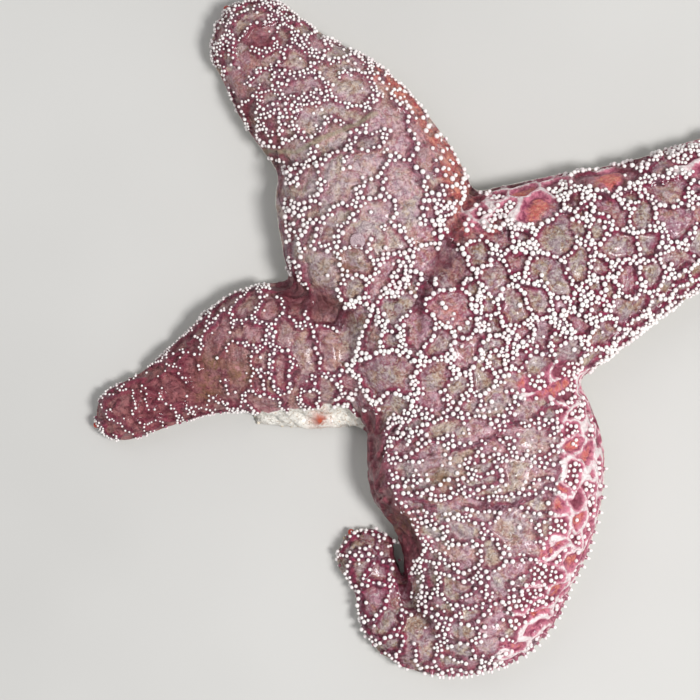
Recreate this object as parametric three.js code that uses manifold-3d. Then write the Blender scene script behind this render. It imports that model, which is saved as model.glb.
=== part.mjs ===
// Ochre sea star (Pisaster ochraceus), life size, at rest on a flat floor.
// Four arms lie round a low central disc. The south arm hooks back on itself, and the west
// arm carries a pale rolled rim of its underside along its south flank.
// Millimetres, +Z up, +Y towards the north-west and east arms' side. The group's origin is the
// middle of the bounding box at floor level.
import * as THREE from "three";
import { mergeVertices } from "three/addons/utils/BufferGeometryUtils.js";
import Module from "manifold-3d";

// ---- Driving dimensions ------------------------------------------------------------------

// Each lobe's centre line, seen from above: x, y and half-width at each station, measured
// from the middle of the disc. The lobe ends in a round end beyond its last station.
const NORTH_WEST_LINE = [
  [0, 0, 28.5],
  [-11.5, 26, 34],
  [-19, 48, 32],
  [-27.5, 66, 26.5],
  [-43, 81, 21.5],
  [-54, 94, 17],
];
const EAST_LINE = [
  [0, 0, 31],
  [26, 12, 36.5],
  [53.5, 24.5, 31],
  [75, 34, 25.5],
  [96, 44.5, 22],
  [114, 53.5, 17.5],
  [128.5, 61, 12],
];
const SOUTH_LINE = [
  [0, 0, 26],
  [14.5, -24.5, 36.5],
  [21, -45.5, 39],
  [22.5, -65, 33],
  [18, -85.5, 24.5],
];
const SOUTH_HOOK_LINE = [
  [31.5, -73, 20],
  [22, -89.5, 20],
  [5, -99.5, 13.5],
  [-10.5, -93.5, 11.5],
  [-16, -81, 8.6],
  [-19.9, -73, 10],
];
const WEST_LINE = [
  [0, 0, 21.5],
  [-24.5, -2.5, 22],
  [-40.5, -3.5, 22.5],
  [-57, -6, 21.5],
  [-75, -14, 14],
  [-87, -20.5, 11],
  [-98.5, -25.5, 10],
];
const WEST_RIM_LINE = [
  [-14, -24.5, 3.6],
  [-24, -26, 4.4],
  [-34, -26.5, 4.2],
  [-45, -27, 3.4],
  [-54, -27, 2.4],
];

// The raised middle of the disc.
const DOME = { x: 5, y: 0, radius: 40, height: 37 };

// The four notches between neighbouring arms, each a little outside the flesh.
const NOTCHES = [
  [15.5, 52],
  [61, -16],
  [-24, -34],
  [-54, 23],
];

const PARTING = 0.3; // clear width of each thin cut between neighbouring parts
const EDGE_RISE = 0.22; // height of a lobe's widest level, as a share of its full height
const FOOT_SHARE = 0.86; // half-width of the sole, as a share of the lobe's half-width
const TALL = 100; // taller than the whole animal
const WIDE = 400; // wider than the whole animal

const BACK_STEPS = 14; // facets over a lobe's back
const SOLE_STEPS = 4; // facets across its sole
const LINE_RINGS = 14; // rings along a lobe's centre line
const END_RINGS = 4; // rings round its far end

const GROOVE = { halfWidth: 2.6, depth: 3.2, from: 0.1, to: 0.94 };
const MOUTH = { radius: 5, low: 1.5, high: 3.5, pocketHigh: 3.8 };
const MADREPORITE = { x: -22, y: 29.5, radius: 2.4, proud: 0.6, low: 26 };
const EYESPOT = { radius: 1.1, z: 3.4 };

// ---- Joining and cutting ---------------------------------------------------------------------

const wasm = await Module();
wasm.setup();

function solid(geometry) {
  const bare = geometry.clone();
  bare.deleteAttribute("normal");
  bare.deleteAttribute("uv");
  const merged = mergeVertices(bare, 1e-4);
  return new wasm.Manifold(
    new wasm.Mesh({
      numProp: 3,
      vertProperties: new Float32Array(merged.attributes.position.array),
      triVerts: new Uint32Array(merged.index.array),
    }),
  );
}

function geometryOf(manifold) {
  const { vertProperties, triVerts } = manifold.getMesh();
  const geometry = new THREE.BufferGeometry();
  geometry.setAttribute("position", new THREE.BufferAttribute(vertProperties, 3));
  geometry.setIndex(new THREE.BufferAttribute(triVerts, 1));
  geometry.computeVertexNormals();
  return geometry;
}

// ---- Lobes -----------------------------------------------------------------------------------

const pathOf = (line) =>
  new THREE.CatmullRomCurve3(
    line.map(([x, y, half]) => new THREE.Vector3(x, y, half)),
    false,
    "centripetal",
  );

// A wide lobe is low for its width, and a narrow one stands nearly as tall as it is wide.
const heightFor = (half) => 2.1 * half ** 0.78;

// Where the centre line is, which way it heads, and how wide the lobe is there.
function stationAt(path, share) {
  const point = path.getPoint(share);
  const tangent = path.getTangent(share);
  const heading = new THREE.Vector2(tangent.x, tangent.y).normalize();
  return { x: point.x, y: point.y, half: point.z, height: heightFor(point.z), heading };
}

// The rings of a lobe: even steps along its line, then a quarter turn round its far end.
function ringsOf(line) {
  const path = pathOf(line);
  const rings = [];
  for (let i = 0; i <= LINE_RINGS; i++) rings.push(stationAt(path, i / LINE_RINGS));
  const last = rings[LINE_RINGS];
  for (let i = 1; i <= END_RINGS; i++) {
    const turn = ((i / END_RINGS) * Math.PI) / 2;
    rings.push({
      ...last,
      x: last.x + last.heading.x * last.half * Math.sin(turn),
      y: last.y + last.heading.y * last.half * Math.sin(turn),
      half: Math.max(last.half * Math.cos(turn), 0.02),
      height: last.height * (0.3 + 0.7 * Math.cos(turn)),
    });
  }
  return rings;
}

// A point of a ring's outline: over the back from the right flank to the left, then along
// the flat sole back to the right.
function outlinePoint(step, half, height) {
  if (step <= BACK_STEPS) {
    const turn = (step / BACK_STEPS) * Math.PI;
    const edge = EDGE_RISE * height;
    return [-half * Math.cos(turn), edge + (height - edge) * Math.sin(turn) ** 0.85];
  }
  const across = (step - BACK_STEPS - 0.5) / SOLE_STEPS;
  return [FOOT_SHARE * half * (1 - 2 * across), 0];
}

// A sphere drawn out along a centre line, so that it is closed at both ends.
function lobe(line, grown = 0) {
  const rings = ringsOf(line);
  const around = BACK_STEPS + SOLE_STEPS + 1;
  const along = rings.length + 1;
  const geometry = new THREE.SphereGeometry(1, around, along);
  const position = geometry.attributes.position;
  for (let row = 0; row <= along; row++) {
    const pole = row === 0 || row === along;
    const ring = rings[THREE.MathUtils.clamp(row - 1, 0, rings.length - 1)];
    for (let step = 0; step <= around; step++) {
      const [left, up] = pole
        ? [0, ring.height / 2]
        : outlinePoint(step % around, ring.half + grown, ring.height + grown);
      const lowered = up === 0 ? -grown : up;
      position.setXYZ(
        row * (around + 1) + step,
        ring.x - ring.heading.y * left,
        ring.y + ring.heading.x * left,
        lowered,
      );
    }
  }
  return solid(geometry);
}

// ---- Cutters -----------------------------------------------------------------------------------

// Everything past an upright plane through a point, and half a parting before it.
function beyond(x, y, heading) {
  const box = new THREE.BoxGeometry(WIDE, WIDE, 2 * TALL);
  box.translate(WIDE / 2 - PARTING / 2, 0, 0);
  box.rotateZ(heading);
  box.translate(x, y, 0);
  return solid(box);
}

// The part of a lobe between two shares of its centre line.
function lengthOf(flesh, line, from, to) {
  const path = pathOf(line);
  let piece = flesh;
  for (const [share, turn] of [[from, Math.PI], [to, 0]]) {
    if (share <= 0 || share >= 1) continue;
    const { x, y, heading } = stationAt(path, share);
    piece = piece.subtract(beyond(x, y, heading.angle() + turn));
  }
  return piece;
}

// An upright prism through the four notches, drawn in by an inset.
function notchPrism(inset) {
  const middle = NOTCHES.reduce((sum, [x, y]) => sum.add(new THREE.Vector2(x / 4, y / 4)), new THREE.Vector2());
  const corners = NOTCHES.map(([x, y]) => {
    const corner = new THREE.Vector2(x, y);
    return corner.addScaledVector(corner.clone().sub(middle).normalize(), -inset);
  });
  const prism = new THREE.ExtrudeGeometry(new THREE.Shape(corners), {
    depth: 2 * TALL,
    bevelEnabled: false,
  });
  prism.translate(0, 0, -TALL);
  return solid(prism);
}

// The open furrow under an arm, in which its tube feet stand.
function groove(line) {
  const path = pathOf(line);
  const floorLine = new THREE.CatmullRomCurve3(
    [...Array(9).keys()].map((i) => {
      const share = THREE.MathUtils.lerp(GROOVE.from, GROOVE.to, i / 8);
      const { x, y } = stationAt(path, share);
      return new THREE.Vector3(x, y, 0);
    }),
  );
  const { halfWidth, depth } = GROOVE;
  const section = new THREE.Shape([
    new THREE.Vector2(1, -halfWidth),
    new THREE.Vector2(1, halfWidth),
    new THREE.Vector2(-depth, halfWidth * 0.45),
    new THREE.Vector2(-depth, -halfWidth * 0.45),
  ]);
  return solid(
    new THREE.ExtrudeGeometry(section, { steps: 16, extrudePath: floorLine, bevelEnabled: false }),
  );
}

// The largest of the bodies that a cut leaves.
function largest(manifold) {
  return manifold.decompose().reduce((best, one) => (one.volume() > best.volume() ? one : best));
}

function upright(radius, low, high, x = 0, y = 0, sides = 20) {
  const cylinder = new THREE.CylinderGeometry(radius, radius, high - low, sides);
  cylinder.rotateX(Math.PI / 2);
  cylinder.translate(x, y, (low + high) / 2);
  return solid(cylinder);
}

// ---- The flesh -----------------------------------------------------------------------------------

const underside = solid(
  new THREE.BoxGeometry(WIDE, WIDE, TALL).translate(0, 0, -TALL / 2),
);
const dome = solid(
  new THREE.SphereGeometry(1, 32, 16)
    .rotateX(Math.PI / 2)
    .scale(DOME.radius, DOME.radius, DOME.height)
    .translate(DOME.x, DOME.y, 0),
).subtract(underside);

const ARM_LINES = {
  arm_north_west: NORTH_WEST_LINE,
  arm_east: EAST_LINE,
  arm_south: SOUTH_LINE,
  arm_west: WEST_LINE,
};

const grooves = Object.values(ARM_LINES)
  .concat([SOUTH_HOOK_LINE])
  .map(groove)
  .reduce((all, one) => all.add(one));
const carve = (flesh) => flesh.subtract(grooves);

const westRim = lobe(WEST_RIM_LINE);
const northWest = lobe(NORTH_WEST_LINE);
const east = lobe(EAST_LINE);
const south = lobe(SOUTH_LINE);
const southHook = lobe(SOUTH_HOOK_LINE);
const west = lobe(WEST_LINE).add(westRim);

const discOutline = notchPrism(PARTING * 1.6);
const armsInside = notchPrism(0);

// Where the hook of the south arm leaves the bend: just past the inner crease.
const HOOK_PARTING = { x: -2, y: -96, heading: Math.PI * 1.06 };
const afterBend = beyond(HOOK_PARTING.x, HOOK_PARTING.y, HOOK_PARTING.heading);
const beforeBend = beyond(HOOK_PARTING.x, HOOK_PARTING.y, HOOK_PARTING.heading + Math.PI);
const southBend = south.add(southHook.subtract(afterBend));
const southTip = southHook.subtract(beforeBend).subtract(lobe(SOUTH_LINE, PARTING));

const parts = {
  disc: northWest.add(east).add(south).add(west).add(dome).intersect(discOutline),
  arm_north_west_base: lengthOf(northWest, NORTH_WEST_LINE, 0, 0.62).subtract(armsInside),
  arm_north_west_tip: lengthOf(northWest, NORTH_WEST_LINE, 0.62, 1),
  arm_east_base: lengthOf(east, EAST_LINE, 0, 0.5).subtract(armsInside),
  arm_east_middle: lengthOf(east, EAST_LINE, 0.5, 0.75),
  arm_east_tip: lengthOf(east, EAST_LINE, 0.75, 1),
  arm_south_base: lengthOf(southBend, SOUTH_LINE, 0, 0.55).subtract(armsInside),
  arm_south_bend: lengthOf(southBend, SOUTH_LINE, 0.55, 1),
  arm_south_tip: southTip,
  arm_west_base: lengthOf(west, WEST_LINE, 0, 0.6).subtract(armsInside),
  arm_west_tip: lengthOf(west, WEST_LINE, 0.6, 1),
};
for (const [name, flesh] of Object.entries(parts)) parts[name] = largest(carve(flesh));

// ---- Small organs --------------------------------------------------------------------------------

const { x: sieveX, y: sieveY, radius: sieveRadius } = MADREPORITE;
const madreporite = parts.disc
  .intersect(upright(sieveRadius, MADREPORITE.low + PARTING, TALL, sieveX, sieveY))
  .translate([0, 0, MADREPORITE.proud]);
parts.disc = parts.disc
  .subtract(upright(sieveRadius + PARTING, MADREPORITE.low, TALL, sieveX, sieveY))
  .subtract(upright(MOUTH.radius + PARTING, -1, MOUTH.pocketHigh));
const mouth = upright(MOUTH.radius, MOUTH.low, MOUTH.high);

// A red eyespot sits in a socket at the very end of each arm.
const TIPS = {
  north_west: ["arm_north_west_tip", NORTH_WEST_LINE],
  east: ["arm_east_tip", EAST_LINE],
  south: ["arm_south_tip", SOUTH_HOOK_LINE],
  west: ["arm_west_tip", WEST_LINE],
};
const eyespots = {};
for (const [side, [owner, line]] of Object.entries(TIPS)) {
  const rings = ringsOf(line);
  const end = rings[rings.length - 1];
  const ball = (radius) =>
    solid(
      new THREE.SphereGeometry(radius, 10, 8).translate(
        end.x - end.heading.x * EYESPOT.radius * 0.4,
        end.y - end.heading.y * EYESPOT.radius * 0.4,
        EYESPOT.z,
      ),
    );
  parts[owner] = parts[owner].subtract(ball(EYESPOT.radius + PARTING));
  eyespots["eyespot_" + side] = ball(EYESPOT.radius);
}

// ---- The scene graph -----------------------------------------------------------------------------

const flesh = new THREE.MeshStandardMaterial({ color: 0xa8707c, roughness: 0.38 });
const sieve = new THREE.MeshStandardMaterial({ color: 0xd9c4a8, roughness: 0.55 });
const lips = new THREE.MeshStandardMaterial({ color: 0xe2d3bd, roughness: 0.5 });
const eye = new THREE.MeshStandardMaterial({ color: 0xb02a1c, roughness: 0.3 });

const star = new THREE.Group();
function place(name, manifold, material) {
  const mesh = new THREE.Mesh(geometryOf(manifold), material);
  mesh.name = name;
  star.add(mesh);
}
for (const [name, manifold] of Object.entries(parts)) place(name, manifold, flesh);
place("madreporite", madreporite, sieve);
place("mouth", mouth, lips);
for (const [name, manifold] of Object.entries(eyespots)) place(name, manifold, eye);

// The origin goes to the middle of the bounding box, at floor level.
const bounds = new THREE.Box3().setFromObject(star);
const centre = bounds.getCenter(new THREE.Vector3());
star.position.set(-centre.x, -centre.y, -bounds.min.z);

const seaStar = new THREE.Group();
seaStar.add(star);

export default seaStar;
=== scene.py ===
import math

import bpy
import numpy as np
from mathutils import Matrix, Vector
from mathutils.bvhtree import BVHTree
from mathutils.geometry import barycentric_transform
from mathutils.kdtree import KDTree


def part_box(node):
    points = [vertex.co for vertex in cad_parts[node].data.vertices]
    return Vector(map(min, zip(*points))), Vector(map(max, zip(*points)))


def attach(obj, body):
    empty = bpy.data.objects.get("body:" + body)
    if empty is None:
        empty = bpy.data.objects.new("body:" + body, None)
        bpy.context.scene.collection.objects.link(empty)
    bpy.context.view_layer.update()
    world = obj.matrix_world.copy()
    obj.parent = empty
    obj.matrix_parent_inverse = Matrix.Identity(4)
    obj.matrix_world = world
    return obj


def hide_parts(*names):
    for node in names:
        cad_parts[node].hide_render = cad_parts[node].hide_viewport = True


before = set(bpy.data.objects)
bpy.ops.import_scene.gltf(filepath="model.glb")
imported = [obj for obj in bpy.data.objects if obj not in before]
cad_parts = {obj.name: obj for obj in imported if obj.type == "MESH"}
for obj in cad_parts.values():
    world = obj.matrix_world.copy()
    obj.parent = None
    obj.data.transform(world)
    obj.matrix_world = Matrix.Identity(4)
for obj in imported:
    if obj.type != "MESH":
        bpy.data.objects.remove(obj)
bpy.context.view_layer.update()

# Skin. One tough, wet hide covers the disc and all four arms without a seam. It lies just
# inside the tips of its bead spines, and is lifted a little off the floor by the short blunt
# spines of its sole.
MM = 0.001
SPINE_DEPTH = 2.3
NECK_DEPTH, DEPTH_PER_RADIUS = 0.6, 1.95
SOLE_LIFT = 1.1

bpy.ops.object.select_all(action="DESELECT")
covered = [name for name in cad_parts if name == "disc" or name.startswith("arm_")]
for name in covered + ["madreporite"] + [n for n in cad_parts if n.startswith("eyespot")]:
    flesh = bpy.data.objects.new("flesh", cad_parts[name].data.copy())
    bpy.context.collection.objects.link(flesh)
    flesh.select_set(True)
bpy.context.view_layer.objects.active = flesh
bpy.ops.object.join()
skin = bpy.context.object
skin.name = skin.data.name = "skin"
skin.data.materials.clear()
bpy.ops.object.mode_set(mode="EDIT")
bpy.ops.mesh.select_all(action="SELECT")
bpy.ops.mesh.remove_doubles(threshold=0.01 * MM)
bpy.ops.object.mode_set(mode="OBJECT")

swell = skin.modifiers.new("swell over the partings", "DISPLACE")
swell.strength = 0.3 * MM
swell.mid_level = 0
fuse = skin.modifiers.new("fuse the lengths", "REMESH")
fuse.mode = "VOXEL"
fuse.voxel_size = 0.8 * MM
ease = skin.modifiers.new("ease the seams", "SMOOTH")
ease.factor = 0.5
ease.iterations = 24
for modifier in (swell, fuse, ease):
    bpy.ops.object.modifier_apply(modifier=modifier.name)


def read_points(mesh, layer="vertices", field="co"):
    values = np.empty(len(getattr(mesh, layer)) * 3)
    getattr(mesh, layer).foreach_get(field, values)
    return values.reshape(-1, 3)


def smoothstep(low, high, value):
    t = np.clip((value - low) / (high - low), 0, 1)
    return t * t * (3 - 2 * t)


def near(points, spot, reach):
    """1 on a spot and 0 a few reaches away, seen from above or all round."""
    gap = points[:, : len(spot)] - np.array(spot)
    return np.exp(-(gap**2).sum(1) / reach**2)


FAR = 1e9


def from_line(points, line):
    """Distance from a bent line, seen from above."""
    nearest = np.full(len(points), FAR)
    for (ax, ay), (bx, by) in zip(line, line[1:]):
        run = np.array([bx - ax, by - ay])
        offset = points[:, :2] - (ax, ay)
        share = np.clip(offset @ run / (run @ run), 0, 1)
        nearest = np.minimum(nearest, np.linalg.norm(offset - share[:, None] * run, axis=1))
    return nearest


# The kind of cover that each stretch of the back wears, by its middle (x, y) and reach:
# cell half-width, cell stretch, the way its cells run, bead radius, how far from a ridge
# line its beads still stand, how far apart they stand in bead widths, the share of its
# ridges that are weak, how dark its rims are, and how reddish brown its flesh is.
STRETCHES = [
    (-16, 1, 22, 3.7, 1.3, 60, 0.80, 0.95, 0.80, 0.16, 0.85, 0.06),
    (8, 22, 22, 3.4, 1.3, 60, 0.82, 0.90, 0.80, 0.12, 1.00, 0.00),
    (36, 28, 22, 3.3, 1.3, 60, 0.80, 0.86, 0.84, 0.10, 1.00, 0.00),
    (64, 38, 20, 3.3, 1.3, 60, 0.80, 0.80, 0.88, 0.10, 1.00, 0.00),
    (95, 50, 26, 2.8, 1.3, 60, 0.68, 1.00, 1.00, 0.15, 1.00, 0.00),
    (118, 60, 16, 2.0, 1.3, 60, 0.56, 1.10, 1.05, 0.20, 1.00, 0.10),
    (-40, 45, 20, 3.4, 1.4, 30, 0.78, 0.95, 0.98, 0.28, 0.35, 0.08),
    (-48, 78, 18, 3.0, 1.3, 30, 0.60, 0.95, 1.00, 0.30, 0.50, 0.12),
    (-68, 92, 16, 2.8, 1.3, 40, 0.52, 0.80, 1.08, 0.28, 0.80, 0.25),
    (-14, 60, 10, 4.0, 1.3, 60, 0.84, 0.60, 1.40, 0.40, 0.50, 0.20),
    (0, -34, 18, 3.0, 2.6, 22, 0.74, 1.25, 1.04, 0.20, 0.60, 0.10),
    (0, -60, 18, 3.0, 2.6, 6, 0.74, 1.30, 1.04, 0.20, 0.60, 0.00),
    (38, -55, 14, 3.3, 1.2, 0, 0.78, 0.32, 1.10, 0.06, 0.50, 0.00),
    (24, -14, 10, 3.4, 2.2, 35, 0.74, 0.60, 1.08, 0.40, 0.80, 0.00),
    (6, -88, 18, 3.2, 1.8, 10, 0.74, 0.95, 1.12, 0.25, 0.65, 0.00),
    (4, -106, 8, 2.4, 1.2, 0, 0.80, 0.90, 1.20, 0.25, 0.60, 0.00),
    (-34, -84, 16, 3.4, 1.3, 80, 0.70, 0.75, 1.12, 0.26, 1.00, 0.10),
    (-70, -4, 18, 3.4, 2.2, 105, 0.54, 0.48, 1.08, 0.26, 0.80, 0.60),
    (-56, -4, 12, 3.5, 1.8, 110, 0.64, 0.65, 1.05, 0.22, 0.80, 0.45),
    (-104, -22, 18, 2.4, 1.2, 0, 0.42, 0.50, 1.15, 0.36, 1.00, 0.95),
]


def cover(points):
    """The kind of cover at each point, blended between stretches: one column for each trait."""
    stretches = np.array(STRETCHES)
    gap = points[:, None, :2] - stretches[None, :, :2]
    weight = np.exp(-(gap**2).sum(2) / stretches[:, 2] ** 2 / 0.6) + 1e-12
    return (weight / weight.sum(1, keepdims=True)) @ stretches[:, 3:]


# Flanks that carry no spines, where the hide itself makes the outline: line, reach, top and
# depth. The hide swells out where the bent tip presses against its own arm.
BARE_SIDES = [
    ([(-36, -28), (-35.5, -40), (-34, -49.5), (-28, -59.5), (-24, -66)], 8, 40, 0.3),
    ([(-24, -24.5), (-34, -25.5), (-47, -26), (-56.5, -27), (-66.5, -28.5)], 6, 12, 0.3),
    ([(-25, -66), (-23.8, -71), (-22, -82), (-21, -86)], 4.5, 14, -1.1),
]

# The outer side of the south arm, where the spines of the margin are at their longest.
OUTER_SIDE = ([(42, -50), (43, -64), (39, -80), (28, -98), (12, -108), (-6, -111)], 9, 0.8)

eyespots = [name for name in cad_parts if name.startswith("eyespot")]
organs = [np.mean(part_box(name), axis=0) / MM for name in eyespots]
sieve = np.mean(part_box("madreporite"), axis=0)[:2] / MM
mouth_middle = np.mean(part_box("mouth"), axis=0)[:2] / MM

flesh_points = read_points(skin.data) / MM
flesh_normals = read_points(skin.data, field="normal")
depth = np.minimum(NECK_DEPTH + DEPTH_PER_RADIUS * cover(flesh_points)[:, 3], SPINE_DEPTH)
for line, reach, top, bare_depth in BARE_SIDES:
    bare_side = 1 - smoothstep(0.7, 1.2, from_line(flesh_points, line) / reach)
    bare_side *= 1 - smoothstep(0.7 * top, 1.1 * top, flesh_points[:, 2])
    depth += (bare_depth - depth) * bare_side
line, reach, more_depth = OUTER_SIDE
outer_side = 1 - smoothstep(0.6, 1.4, from_line(flesh_points, line) / reach)
depth += more_depth * outer_side * (1 - smoothstep(6, 12, flesh_points[:, 2]))
depth *= smoothstep(-0.9, -0.1, flesh_normals[:, 2])
for organ in organs:
    depth *= 1 - 0.6 * near(flesh_points, organ, 3.0)
depth *= 1 - 0.9 * near(flesh_points, sieve, 4.5) ** 0.5
hide_points = flesh_points - flesh_normals * depth[:, None]
hide_points[:, 2] = np.maximum(hide_points[:, 2], SOLE_LIFT)

# Skin cells. Between its bead-bearing ridges the hide puffs up into soft cells, each
# breathing through hidden gills. The big ones give this animal its pattern, and small ones
# fill up the rest.
PIXEL = 0.325
DISC_PIXEL = (425, 335)
DISC_MIDDLE = (-15.98, 0.80)


def spot_at(across, down):
    """The place that a pixel stands for, to the nearest half millimetre."""
    x = (across - DISC_PIXEL[0]) * PIXEL + DISC_MIDDLE[0]
    y = (DISC_PIXEL[1] - down) * PIXEL + DISC_MIDDLE[1]
    return round(2 * x) / 2, round(2 * y) / 2


def line_at(*pixels):
    return [spot_at(across, down) for across, down in pixels]


# The big cells, written in pixels: across, down, half-width, stretch, degrees.
BIG_CELLS = [
    (489, 276, 13, 1.15, 80), (514, 262, 12, 1.1, 150), (498, 244, 11, 1.1, 20), (474, 254, 11, 1.2, 120),
    (553, 236, 16, 1.5, 65), (533, 212, 19, 1.1, 60), (554, 190, 13, 1.2, 100), (603, 181, 20, 1.3, 0),
    (606, 215, 15, 1.3, 160), (611, 252, 15, 1.1, 0), (575, 269, 13, 1.3, 100), (552, 285, 13, 1.2, 120),
    (586, 292, 10, 1.1, 0), (533, 299, 14, 1.5, 125), (506, 312, 14, 1.2, 110), (573, 232, 9, 1.1, 90),
    (620, 282, 12, 1.1, 120), (667, 226, 17, 1.1, 45), (664, 194, 16, 1.3, 170), (638, 164, 13, 1.2, 160),
    (684, 152, 18, 1.2, 60), (692, 243, 12, 1.2, 30), (676, 262, 13, 1.4, 10), (643, 274, 11, 1.2, 90),
    (664, 286, 10, 1.2, 90), (620, 309, 15, 1.3, 170), (652, 306, 11, 1.2, 45), (571, 325, 12, 1.1, 120),
    (541, 335, 13, 1.6, 95), (604, 334, 14, 1.3, 150), (568, 348, 10, 1.4, 165), (582, 364, 15, 1.4, 20),
    (534, 368, 13, 1.3, 80), (493, 364, 9, 1, 0), (513, 384, 12, 1.4, 90), (477, 380, 11, 1.5, 95),
    (465, 330, 9, 1, 0), (493, 326, 10, 1.6, 140), (505, 345, 8, 1.9, 90), (480, 349, 8, 1.4, 90),
    (446, 268, 20, 1.1, 120), (446, 311, 15, 1.4, 150), (468, 292, 10, 1.5, 145), (413, 332, 14, 1.3, 60),
    (392, 323, 10, 1.2, 130), (371, 340, 12, 1.8, 55), (353, 331, 16, 1.7, 75), (384, 376, 23, 1.1, 0),
    (436, 374, 16, 1.3, 30), (455, 362, 10, 1.2, 60), (308, 352, 12, 1.6, 100), (328, 352, 13, 1.4, 110),
    (300, 380, 13, 1.7, 130), (326, 388, 12, 1.8, 140), (322, 270, 18, 1.2, 10), (357, 263, 15, 1.4, 160),
    (352, 240, 12, 1.4, 165), (394, 304, 13, 1.1, 0), (426, 262, 13, 1.3, 80), (330, 312, 15, 1.3, 20),
    (341, 192, 15.4, 1.1, 45), (366, 168, 13, 1.3, 20), (400, 180, 16.6, 1.1, 30), (310, 190, 15, 1.8, 70),
    (285, 222, 13, 2, 85), (284, 185, 10, 2, 85), (409, 218, 14.8, 1.2, 80), (363, 228, 12, 1.5, 5),
    (446, 170, 15.4, 1.7, 125), (352, 92, 15.4, 1.4, 160), (386, 112, 15, 1.3, 140),
    (298, 67, 14.2, 1.1, 20), (263, 38, 13.5, 1.2, 40), (300, 92, 14, 1.5, 175), (343, 119, 13, 1.6, 160),
    (399, 146, 13, 1.3, 120), (249, 70, 12, 1.1, 45), (238, 92, 13, 1.5, 70), (366, 143, 11, 2.2, 15),
    (335, 148, 12, 2.6, 25), (393, 400, 13, 1.3, 0), (430, 405, 14, 1.6, 15), (468, 404, 11, 1.3, 60),
    (440, 428, 13, 1.7, 10), (480, 430, 11, 2.4, 25), (520, 412, 12, 2.6, 28), (530, 432, 14, 2, 35),
    (400, 466, 14, 1.5, 5), (440, 470, 12, 2, 10), (505, 470, 14, 1.5, 55), (480, 474, 10, 2.4, 10),
    (460, 497, 11, 3.4, 0), (464, 526, 14, 1.3, 0), (507, 527, 17, 1.6, 0), (405, 525, 14, 1.4, 75),
    (460, 548, 12, 1.5, 150), (487, 548, 12, 1.6, 70), (430, 575, 12, 1.2, 60), (450, 590, 11, 1.8, 125),
    (500, 584, 13, 1.2, 20), (373, 599, 14, 1.3, 70), (380, 576, 11, 1.2, 40), (386, 622, 13, 1.4, 60),
    (352, 545, 12, 1.3, 30), (430, 620, 12, 2, 170), (455, 628, 13, 1.8, 170), (425, 648, 13, 1.5, 80),
    (490, 640, 13, 1.5, 150), (265, 357, 13, 1.5, 80), (288, 335, 12, 1.7, 60), (285, 372, 12, 1.8, 110),
    (236, 378, 14, 2, 100), (245, 308, 14, 1.7, 65), (222, 332, 13, 2.2, 80), (210, 365, 11, 2.6, 95),
    (262, 400, 12, 1.7, 140), (272, 308, 13, 1.6, 60),
]

SMALL_CELL_TRIES = 9000
CLEAR_OF_BIG, CLEAR_OF_SMALL = 1.6, 1.5  # in half-widths of the cell next to it
CELL_REACH = 14

chance = np.random.default_rng(20)


def scatter(points, normals, triangles, count):
    """Random spots all over a surface, with its smooth normal at each."""
    corners = points[triangles]
    area = np.linalg.norm(np.cross(corners[:, 1] - corners[:, 0], corners[:, 2] - corners[:, 0]), axis=1)
    picked = chance.choice(len(triangles), count, p=area / area.sum())
    share = chance.random((count, 2))
    share = np.where(share.sum(1, keepdims=True) > 1, 1 - share, share)
    share = np.column_stack([1 - share.sum(1), share])[:, :, None]
    spots = (points[triangles[picked]] * share).sum(1)
    facing = (normals[triangles[picked]] * share).sum(1)
    return spots, facing / np.linalg.norm(facing, axis=1, keepdims=True)


skin.data.calc_loop_triangles()
triangles = np.empty(len(skin.data.loop_triangles) * 3, dtype=np.int32)
skin.data.loop_triangles.foreach_get("vertices", triangles)
triangles = triangles.reshape(-1, 3)
spots, facings = scatter(hide_points, flesh_normals, triangles, SMALL_CELL_TRIES)
upper = facings[:, 2] > -0.5
spots, facings = spots[upper], facings[upper]


def cell_metric(centre, normal, half, stretch, degrees):
    """A cell's own measure of distance: 1 at its edge, all round, however it is stretched."""
    along = np.array([math.cos(math.radians(degrees)), math.sin(math.radians(degrees)), 0.0])
    along -= normal * (along @ normal)
    along /= np.linalg.norm(along) + 1e-9
    across = np.cross(normal, along)
    axes = np.array([along / math.sqrt(stretch), across * math.sqrt(stretch), normal]) / half
    return centre, axes.T @ axes, half


tree = BVHTree.FromPolygons(hide_points.tolist(), triangles.tolist())
cells = []
for across, down, half, stretch, degrees in BIG_CELLS:
    x, y = spot_at(across, down)
    place, normal, _, _ = tree.ray_cast(Vector((x, y, 100)), Vector((0, 0, -1)))
    if place:
        half = round(half * PIXEL, 1)
        cells.append(cell_metric(np.array(place), np.array(normal), half, stretch, degrees))


def measured(points, cells):
    """Squared distance of every point from every cell, each by the cell's own measure."""
    x, y, z = points.T
    ones = np.ones(len(points))
    powers = np.column_stack([x * x, y * y, z * z, x * y, y * z, x * z, x, y, z, ones])
    terms = []
    for centre, a, _ in cells:
        c = a @ centre
        terms.append([a[0, 0], a[1, 1], a[2, 2], 2 * a[0, 1], 2 * a[1, 2], 2 * a[0, 2],
                      -2 * c[0], -2 * c[1], -2 * c[2], centre @ c])
    return np.maximum(powers @ np.array(terms).T, 0)


first_small = len(cells)
halves, stretches, ways = cover(spots)[:, :3].T
halves = halves * chance.uniform(0.8, 1.2, len(spots))
free = measured(spots, cells).min(1) > CLEAR_OF_BIG**2
small = [trait[free] for trait in (spots, facings, halves, stretches, ways)]
for spot, facing, half, stretch, way in zip(*small):
    turn = chance.normal(0, 30 / stretch**2)
    filler = cell_metric(spot, facing, half, stretch * chance.uniform(0.85, 1.2), way + turn)
    if all(((spot - c) @ a @ (spot - c)) > CLEAR_OF_SMALL**2 for c, a, _ in cells[first_small:]
           if abs(spot[0] - c[0]) < CELL_REACH and abs(spot[1] - c[1]) < CELL_REACH):
        cells.append(filler)


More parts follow.
